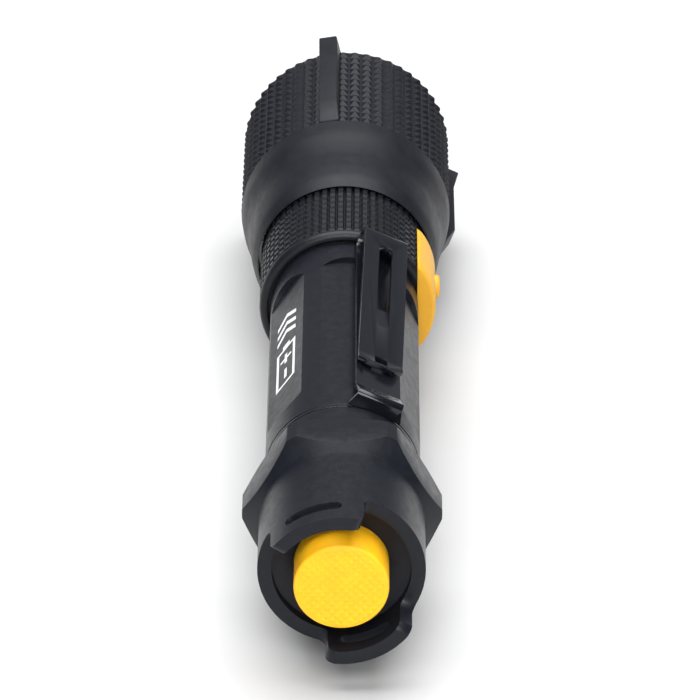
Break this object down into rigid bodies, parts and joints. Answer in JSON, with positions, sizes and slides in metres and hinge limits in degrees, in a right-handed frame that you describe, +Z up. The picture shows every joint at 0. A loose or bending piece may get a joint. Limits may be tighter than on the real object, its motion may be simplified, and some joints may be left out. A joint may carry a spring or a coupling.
{
  "type": "tactical flashlight",
  "caption": "Slim aluminium torch with a sliding, turning focus head, anti-roll fins, hexagonal tail cap with lanyard horns, yellow tail and side buttons and a spring pocket clip.",
  "frame": {"origin": "on the torch's axis, in the plane of the tail cup's low rim, where the tail collar begins", "axes": "+Y along the axis towards the lamp, +Z up from the wrench flat it lies on, +X out of the side button"},
  "size_m": [0.0381, 0.1568, 0.0389],
  "materials": {
    "black_anodised": "satin black anodised",
    "neck_black": "matt black anodised, knurled",
    "clip_steel": "black coated spring steel, semi-gloss",
    "cell_steel": "plain can",
    "cell_sleeve": "shrink sleeve",
    "nickel": "nickel plated",
    "seal_rubber": "matt",
    "spring_steel": "bright wire",
    "bare_aluminium": "turned",
    "circuit_board": "solder mask",
    "lamp_board_white": "white solder mask",
    "lamp_phosphor": "phosphor under a clear dome",
    "yellow_silicone": "matt moulded silicone",
    "black_plastic": "moulded",
    "brass_ring": "turned",
    "gold_contact": "gold plated spring wire",
    "slide_plastic": "low-friction polymer",
    "grip_rubber": "matt moulded rubber",
    "lens_glass": "polished"
  },
  "bodies": {
    "barrel": {"battery_tube": "black_anodised", "neck": "neck_black", "pocket_clip": "clip_steel", "cell_can": "cell_steel", "cell_wrap": "cell_sleeve", "cell_cap": "nickel", "neck_oring": "seal_rubber", "tube_oring": "seal_rubber", "stop_ring": "spring_steel", "heatsink": "bare_aluminium", "driver_board": "circuit_board", "driver_spring": "spring_steel", "lamp_board": "lamp_board_white", "lamp_chip": "lamp_phosphor", "side_boot": "yellow_silicone", "side_switch": "black_plastic", "side_board": "circuit_board"},
    "side_key": {"side_button": "yellow_silicone"},
    "tail": {"tail_cap": "black_anodised", "switch_housing": "black_plastic", "switch_board": "circuit_board", "switch_retainer": "brass_ring", "tail_spring": "gold_contact"},
    "tail_key": {"tail_button": "yellow_silicone", "switch_plunger": "black_plastic", "switch_spring": "spring_steel"},
    "cap_carrier": {"tail_seal": "seal_rubber"},
    "zoom_carrier": {"slide_ring": "slide_plastic"},
    "head": {"head_grip": "grip_rubber", "head_barrel": "black_anodised", "lens": "lens_glass", "lens_oring": "seal_rubber", "lens_ring": "black_anodised"}
  },
  "joints": [
    {"name": "head_zoom", "type": "slide", "parent": "barrel", "child": "zoom_carrier", "axis": [0, 1, 0], "range_m": [0, 0.009]},
    {"name": "head_turn", "type": "hinge", "parent": "zoom_carrier", "child": "head", "pos_m": [0, 0.1089, 0], "axis": [0, 1, 0], "continuous": true},
    {"name": "cap_travel", "type": "slide", "parent": "barrel", "child": "cap_carrier", "axis": [0, -1, 0], "range_m": [0, 0.006]},
    {"name": "cap_unscrew", "type": "hinge", "parent": "cap_carrier", "child": "tail", "pos_m": [0, 0.0275, 0], "axis": [0, -1, 0], "range_deg": [0, 2160]},
    {"name": "tail_press", "type": "slide", "parent": "tail", "child": "tail_key", "axis": [0, 1, 0], "range_m": [0, 0.0018], "stiffness_N_per_m": 2500, "springref_m": -0.0012},
    {"name": "side_press", "type": "slide", "parent": "barrel", "child": "side_key", "axis": [-1, 0, 0], "range_m": [0, 0.0007], "stiffness_N_per_m": 2500, "springref_m": -0.0005}
  ],
  "couplings": [
    {"joint": "cap_unscrew", "follows": "cap_travel", "rad_per_m": 6283.2}
  ]
}
